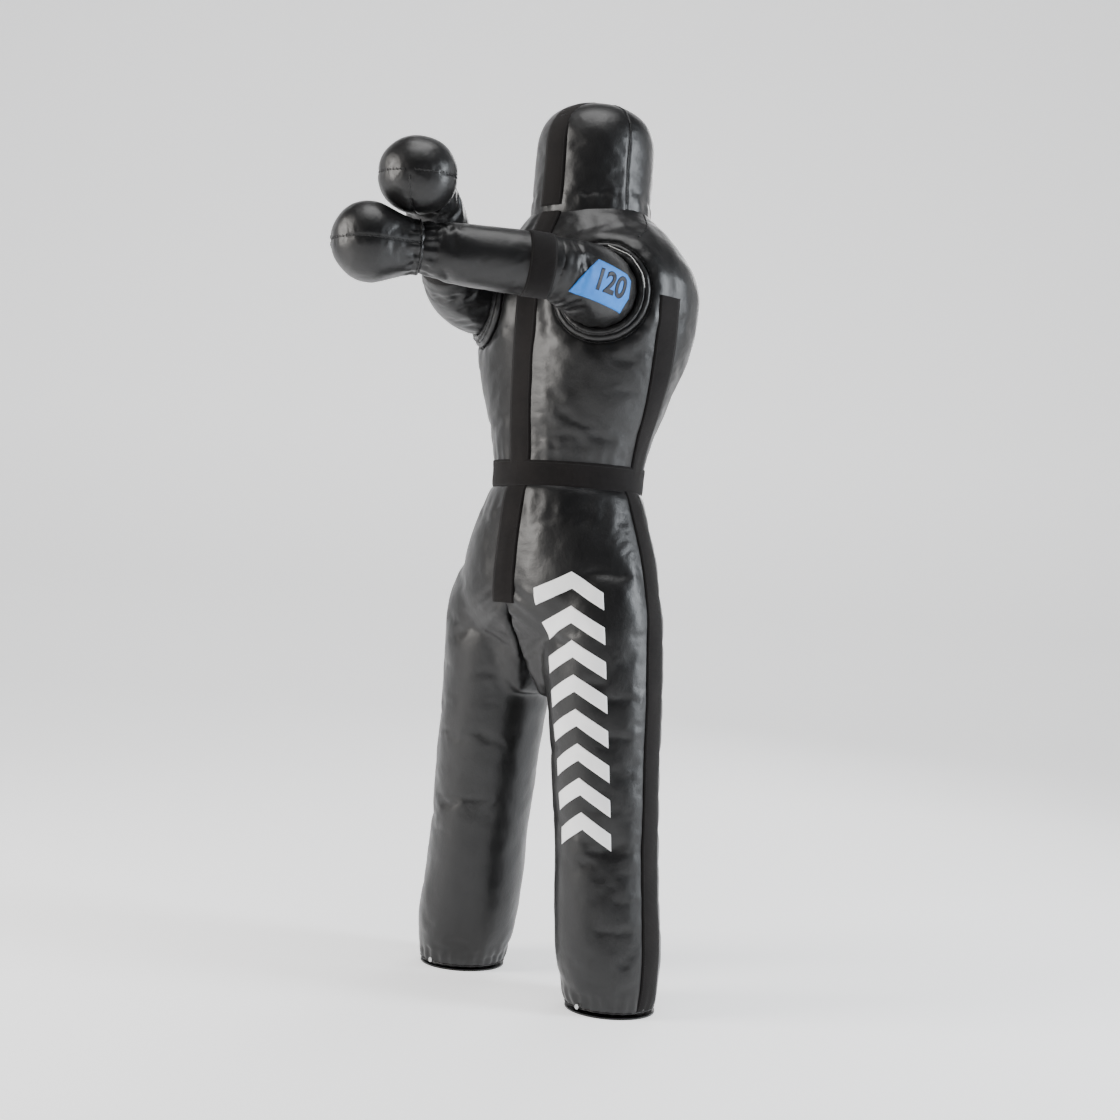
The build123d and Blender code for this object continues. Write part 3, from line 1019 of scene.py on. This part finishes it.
def make_fist(side):
    """A ball-shaped hand without fingers."""
    wrist = ARMS[side][2]
    hand_way, side_way, other_way, length = hand_axes(side)
    # distance from the wrist, radius in mm
    steps = [(-0.004, 38), (0, 42), (0.004, 43.6), (0.012, 44), (0.024, 46.5), (0.040, 52), (0.056, 58),
             (length - 0.012, 63.6), (length, 64.6), (length + 0.014, 63.2), (length + 0.030, 57.5),
             (length + 0.044, 47), (length + 0.055, 33), (length + 0.0615, 18), (length + 0.0635, 6)]
    rings = [ellipse_ring(wrist + hand_way * s, side_way, other_way, r / 1000, r / 1000, 2.0, 64)
             for s, r in steps]
    fist = add_tube(f"{SIDES[side]}_hand_skin", rings)

    def local_to(p):
        """How far along the hand, how far round it, and the degrees to each lengthwise seam."""
        local = p - wrist
        turn = atan2(local.dot(other_way), local.dot(side_way))
        gaps = [abs((math.degrees(turn) - seam_turn + 180) % 360 - 180) for seam_turn in HAND_SEAMS[side]]
        return local.dot(hand_way), turn, gaps

    def held(p):
        s, _, gaps = local_to(p)
        return max(near_band(s, -1, 0.006, 0.005), *[near_band(gap, 0, 2.5, 3) * 0.9 for gap in gaps])

    def folds(p):
        """Gathers at the wrist, and a groove along each seam."""
        s, turn, gaps = local_to(p)
        depth = 0.0015 * bell(s, 0.012, 0.012) * sin(turn * 14 + 1)
        if s < length + 0.045:
            for gap in gaps:
                depth -= 0.0016 * bell(gap, 0, 3)
        return depth

    stuff(fist, held, voxel=ARM_VOXEL, cap=0.0035, soften=2, growth=ARM_GROWTH)
    dent(fist, 0.0045, 0.0010, 23 + side, folds)
    finish_skin(fist, [f"{SIDES[side]}_hand"])
    return fist


def make_rolls(side):
    """The two padded rolls that ring the root of a sleeve."""
    rolls = []
    for name, (node, radius, thick, lift, phase) in ROLLS.items():
        points = [armhole_point(side, turn, radius, ring_gap(side, turn) + lift) for turn in turns(144)]

        def size(part, thick=thick, phase=phase):
            turn = part * 2 * pi
            bumps = sin(turn * 23 + phase + 1.5 * sin(turn * 3))
            return thick * (1 + 0.045 * bumps + 0.05 * sin(turn * 5 + phase * 2))

        roll = joined(f"{SIDES[side]}_{name}", [round_tube(points, size, 20, True)])
        fix_normals(roll)
        applied(roll, ("SUBSURF", {"levels": 1}))
        dent(roll, 0.0012, 0.0008, 31 + side)
        finish_skin(roll, [f"{SIDES[side]}_{node}"])
        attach(roll, "torso")
        rolls.append(roll)
    return rolls


arms = {side: (make_sleeve(side), make_forearm(side), make_fist(side), make_rolls(side)) for side in SIDES}

# -------------------- joins at the moving seams
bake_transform(torso)
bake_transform(head)
for side, obj in lower.items():
    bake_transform(obj)
ARM_JOIN, ELBOW_JOIN = {}, {}
for side, (upper, fore, fist, _) in arms.items():
    word = SIDES[side]
    out, fore_way = armhole_axes(side)[2], arm_ways(side)[1]
    shoulder, elbow = ARMS[side][:2]
    ARM_JOIN[side] = (shoulder - out * 0.035, shoulder + out * 0.020)
    ELBOW_JOIN[side] = (elbow - fore_way * 0.020, elbow + fore_way * 0.020)
    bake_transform(upper)
    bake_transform(fore)
    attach(fist, f"{word}_forearm")


# -------------------- webbing
trunk_tree = tree_of(torso)
lower_tree = {side: tree_of(obj) for side, obj in lower.items()}
hips_tree = tree_of(*lower.values())
head_tree = tree_of(head)


def make_belt():
    path = [(*trunk_point(947, degrees), Z) for degrees in range(0, 360, 2)]
    belt = web("waist_belt_web", trunk_tree, path, lift=0.0016, closed=True)
    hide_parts("waist_belt")
    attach(belt, "torso")


def face_path(front, heights):
    """Up the middle of the front or the back; at the top it goes over the edge round the neck."""
    way = 1 if front else -1
    path = []
    for z in heights:
        point, _ = trunk_point(min(z, 1440), 0 if front else 180)
        point.z = z / 1000
        path.append((point, Y * way, X))
    if heights[-1] > 1430:
        for k in range(1, 4):
            lean = radians(28 * k)
            inward = Vector((0, cos(lean) * way, -sin(lean)))
            path.append((at(0, 14 - way * (107 - 3.5 * k), 1447), inward, X))
    return path


def make_trunk_webs():
    for front, word in ((True, "front"), (False, "back")):
        strap = web(f"torso_{word}_web", trunk_tree, face_path(front, range(936, 1446, 9)))
        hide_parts(f"torso_{word}_strap")
        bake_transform(strap)
        low = 712 if front else 700
        path = face_path(front, range(low, 931, 9))
        strap = web(f"pelvis_{word}_web", hips_tree, path, lift=0.0014, bridge=True)
        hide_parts(f"pelvis_{word}_strap")
        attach(strap, "hips")
    for side, word in SIDES.items():
        path = []
        for z in range(950, 1282, 9):
            point = at(side * smooth_rows(TRUNK, z)[0], flank_y(z), z)
            path.append((point, X * -side, Y))
        strap = web(f"{word}_flank_web", trunk_tree, path)
        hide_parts(f"{word}_flank_strap")
        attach(strap, "torso")
        path = []
        for z in range(8, 934, 9):
            y = 8 + 14 * max(0, (z - 720) / 200)
            point = Vector((side * (leg_centre(z).x + 0.1), y / 1000 + FEET_Y, z / 1000))
            path.append((point, X * -side, Y))
        strap = web(f"{word}_leg_web", lower_tree[side], path)
        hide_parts(f"{word}_hip_strap", f"{word}_leg_strap")
        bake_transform(strap)


def make_head_web():
    path = []
    for z in range(1442, 1571, 9):
        path.append((at(0, HEAD_Y - HEAD_R, z), Y, X))
    for k in range(1, 20):
        turn = pi * k / 20
        inward = Vector((0, cos(turn), -sin(turn)))
        path.append((at(0, HEAD_Y - HEAD_R * cos(turn), 1565 + 86 * sin(turn)), inward, X))
    for z in range(1568, 1441, -9):
        path.append((at(0, HEAD_Y + HEAD_R, z), -Y, X))
    strap = web("head_web", head_tree, path)
    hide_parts("head_strap")
    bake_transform(strap)


def make_elbow_band(side):
    word = SIDES[side]
    way = arm_ways(side)[1]
    side_way = way.orthogonal().normalized()
    path = []
    for turn in turns(96):
        radial = spoke(side_way, way.cross(side_way), turn)
        path.append((ARMS[side][1] + way * 0.031 + radial * 0.054, -radial, way))
    band = web(f"{word}_elbow_web", arm_tree[side], path, half=0.023, lift=0.0009, closed=True)
    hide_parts(f"{word}_elbow_band")
    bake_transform(band)


arm_tree = {side: tree_of(*parts[:2]) for side, parts in arms.items()}
make_belt()
make_trunk_webs()
make_head_web()
for side in SIDES:
    make_elbow_band(side)


# -------------------- seams
def make_head_seam(side, word):
    path = []
    for z in range(1450, 1561, 6):
        radial = level(radians(side * SEAM_TURN))
        path.append((at(0, HEAD_Y, z) + radial * HEAD_R / 1000, -radial))
    for k in range(1, 12):
        rise = pi / 2 * k / 12
        turn = radians(side * (SEAM_TURN + 8 * k / 12))
        radial = Vector((sin(turn) * cos(rise), -cos(turn) * cos(rise), sin(rise)))
        path.append((at(0, HEAD_Y, 1560) + radial * 0.09, -radial))
    line = seam(f"{word}_head_seam", head_tree, path)
    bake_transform(line)


def make_shoulder_seam(side, word):
    path = []
    for k in range(22):
        t = k / 21
        point, inward = trunk_point(1438 - 62 * t, side * (98 - 34 * t))
        path.append((point, (inward - Z * 0.55).normalized()))
    line = seam(f"{word}_shoulder_seam", trunk_tree, path)
    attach(line, "torso")


def make_armhole_seams(side, word):
    """One seam round the outside of the rolls and one between them."""
    tree = tree_of(torso, *arms[side][3])
    out = armhole_axes(side)[2]
    for number, radius in enumerate((0.0905, 0.0768)):
        path = [(armhole_point(side, turn, radius, ring_gap(side, turn)), -out) for turn in turns(120)]
        line = seam(f"{word}_armhole_seam_{number}", tree, path, radius=0.0009, closed=True)
        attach(line, "torso")


def make_hand_seams(side, word):
    """A ridge round the wrist, and a seam from it along the hand at each of its turns."""
    _, fore, fist, _ = arms[side]
    wrist = ARMS[side][2]
    hand_way, side_way, other_way, length = hand_axes(side)
    path = []
    for turn in turns(80):
        radial = spoke(side_way, other_way, turn)
        path.append((wrist + radial * 0.043 + hand_way * 0.002, -radial))
    line = seam(f"{word}_wrist_seam", tree_of(fore, fist), path, radius=0.0018, closed=True)
    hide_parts(f"{word}_wrist_welt")
    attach(line, f"{word}_forearm")
    tree = tree_of(fist)
    for number, degrees in enumerate(HAND_SEAMS[side]):
        radial = spoke(side_way, other_way, radians(degrees))
        path = [(wrist + hand_way * s + radial * 0.06, -radial) for s in np.linspace(0.004, length, 20)]
        for k in range(1, 14):
            way = spoke(radial, hand_way, radians(82) * k / 13)
            path.append((wrist + hand_way * length + way * 0.064, -way))
        line = seam(f"{word}_hand_seam_{number}", tree, path, radius=0.0010)
        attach(line, f"{word}_forearm")


def make_sole_seam(side, word):
    centre = Vector((side * LEG_FOOT.x, LEG_FOOT.lerp(LEG_TOP, 0.012).y, 0.0105))
    path = [(centre + level(turn) * 0.083, -level(turn)) for turn in turns(120)]
    line = seam(f"{word}_sole_seam", lower_tree[side], path, radius=0.0013, closed=True)
    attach(line, f"{word}_leg")


for side, word in SIDES.items():
    for make in (make_head_seam, make_shoulder_seam, make_armhole_seams, make_hand_seams, make_sole_seam):
        make(side, word)


# -------------------- flat things that lie on a skin
def cut_fine(obj, longest):
    bm = bmesh.new()
    bm.from_mesh(obj.data)
    bmesh.ops.remove_doubles(bm, verts=bm.verts, dist=1e-6)
    bmesh.ops.triangulate(bm, faces=bm.faces)
    for _ in range(5):
        edges = [e for e in bm.edges if e.calc_length() > longest]
        if not edges:
            break
        bmesh.ops.subdivide_edges(bm, edges=edges, cuts=1)
        bmesh.ops.triangulate(bm, faces=bm.faces)
    bm.to_mesh(obj.data)
    bm.free()


def lay_on(obj, tree, place, lift, thickness):
    """Moves a flat drawing's points onto a skin; place turns (x, y) into (point, inward)."""
    co = points_of(obj)
    for i, (x, y, _) in enumerate(co):
        point, inward = place(x, y)
        co[i] = onto(tree, point, inward, lift)[0]
    put_points(obj, co)
    fix_normals(obj)
    applied(obj, ("SOLIDIFY", {"thickness": thickness, "offset": 0.0}))


LABEL_CENTRE = ARMS[1][0] + Vector((0.0616, -0.0261, -0.0076))
LABEL_TURN = radians(43)


def label_place(x, y):
    """The label faces outwards and forwards on the left sleeve's root."""
    right = Vector((cos(LABEL_TURN), sin(LABEL_TURN), 0))
    return LABEL_CENTRE + right * x + Z * y, -level(LABEL_TURN)


def make_label():
    """A sewn patch with generic figures on it."""
    outline = [(-61, -21), (-38, 8), (-15, 37), (10, 31), (35, 24), (43, 15), (41, -14), (28, -39), (-16, -30)]
    corners = [(x / 1000, y / 1000, 0) for x, y in outline]
    label = add_mesh("label_patch", corners, [tuple(range(len(corners)))])
    cut_fine(label, 0.004)
    tree = arm_tree[1]
    lay_on(label, tree, label_place, 0.0016, 0.0011)
    label.data.materials.append(LABEL)
    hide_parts("weight_label")
    text = bpy.data.curves.new("digits", "FONT")
    text.body = "120"
    text.size = 0.050
    text.offset = 0.0017
    text.align_x = "CENTER"
    text.align_y = "CENTER"
    source = add_object("digits_source", text)
    bpy.context.view_layer.update()
    mesh = bpy.data.meshes.new_from_object(source.evaluated_get(bpy.context.evaluated_depsgraph_get()))
    bpy.data.objects.remove(source)
    digits = add_object("label_digits", mesh)
    lean, narrow, slant, shift_x, shift_y = radians(-8.5), 0.72, 0.08, 0.0075, 0.0005
    co = points_of(digits)
    x, y = co[:, 0] * narrow + co[:, 1] * slant, co[:, 1]
    co[:, 0] = x * cos(lean) - y * sin(lean) + shift_x
    co[:, 1] = x * sin(lean) + y * cos(lean) + shift_y
    put_points(digits, co)
    cut_fine(digits, 0.004)
    lay_on(digits, tree, label_place, 0.0024, 0.0004)
    digits.data.materials.clear()
    digits.data.materials.append(INK)
    for obj in (label, digits):
        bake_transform(obj)


def make_print():
    """A column of plain chevrons on the front of the left leg."""
    verts, faces = [], []
    half, rise, bar, pitch, lowest = 0.056, 0.034, 0.030, 0.060, 0.292
    for k in range(8):
        z = lowest + k * pitch
        start = len(verts)
        verts += [(-half, z, 0), (0, z + rise, 0), (half, z, 0),
                  (half, z + bar, 0), (0, z + rise + bar, 0), (-half, z + bar, 0)]
        faces += [(start, start + 1, start + 4, start + 5), (start + 1, start + 2, start + 3, start + 4)]
    sign = add_mesh("leg_print", verts, faces)
    cut_fine(sign, 0.006)

    def place(x, z):
        """x is wrapped round the leg, whose radius is about 102 mm; the column leans a little."""
        centre = LEG_FOOT.lerp(LEG_TOP, z / (LEG_TOP_Z / 1000))
        radial = level(radians(15.5 - (z - 0.29) / 0.47 * 4) + x / 0.102)
        return Vector((centre.x, centre.y, z)) + radial * 0.1, -radial

    lay_on(sign, lower_tree[1], place, 0.0007, 0.0005)
    sign.data.materials.append(PRINT)
    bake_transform(sign)


make_label()
make_print()

# -------------------- soles and tacks
for side, word in SIDES.items():
    for node, material in ((f"{word}_sole", VINYL_SEAM), (f"{word}_sole_tack", METAL)):
        frame["nodes"][node].data.materials.clear()
        frame["nodes"][node].data.materials.append(material)
